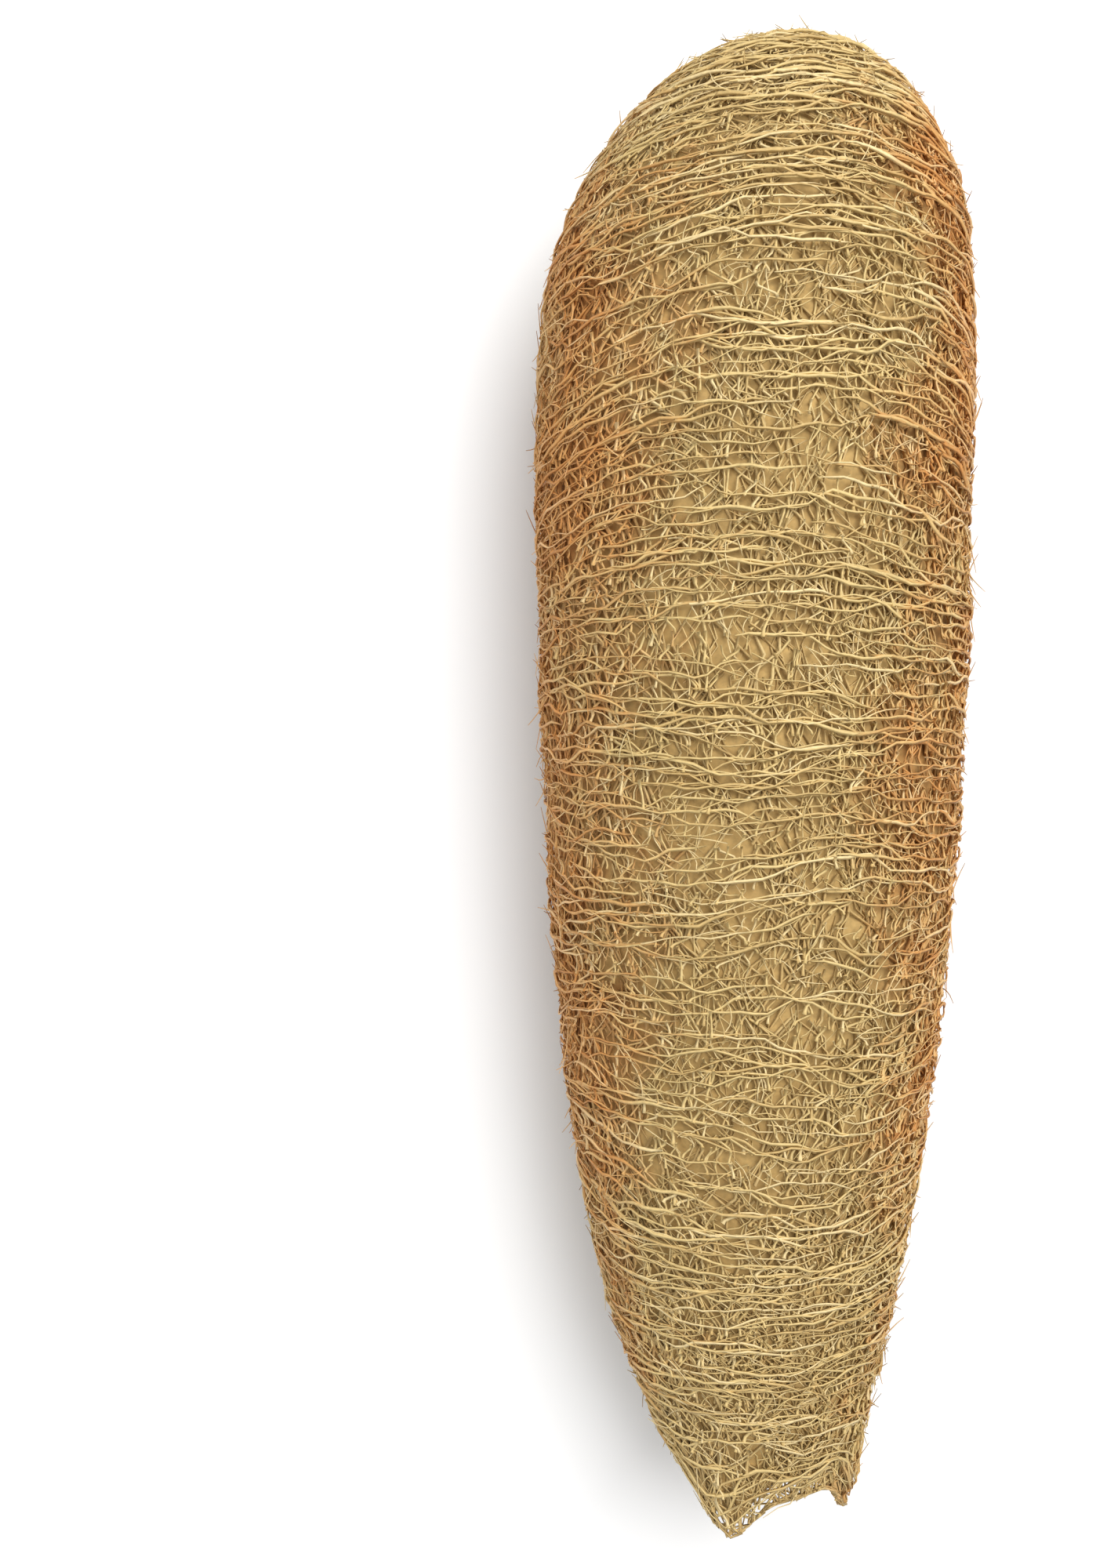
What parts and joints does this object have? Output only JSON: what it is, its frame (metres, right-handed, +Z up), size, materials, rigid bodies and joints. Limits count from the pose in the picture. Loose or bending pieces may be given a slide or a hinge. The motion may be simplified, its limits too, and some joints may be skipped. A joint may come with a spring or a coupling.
{
  "type": "natural loofah sponge",
  "caption": "Whole natural loofah sponge lying on its side: a straw-coloured net of dried plant fibre with a domed blossom end and a torn, tapering stem end.",
  "frame": {"origin": "on the surface that the sponge lies on, under the middle of its length and width", "axes": "+Y along the length towards the domed blossom end, +Z up, +X across its width"},
  "size_m": [0.0876, 0.295, 0.0783],
  "materials": {
    "loofah_fibre": "matt dried plant fibre, straw to orange-brown"
  },
  "bodies": {
    "root": {"loofah_sponge": "loofah_fibre"}
  },
  "joints": []
}
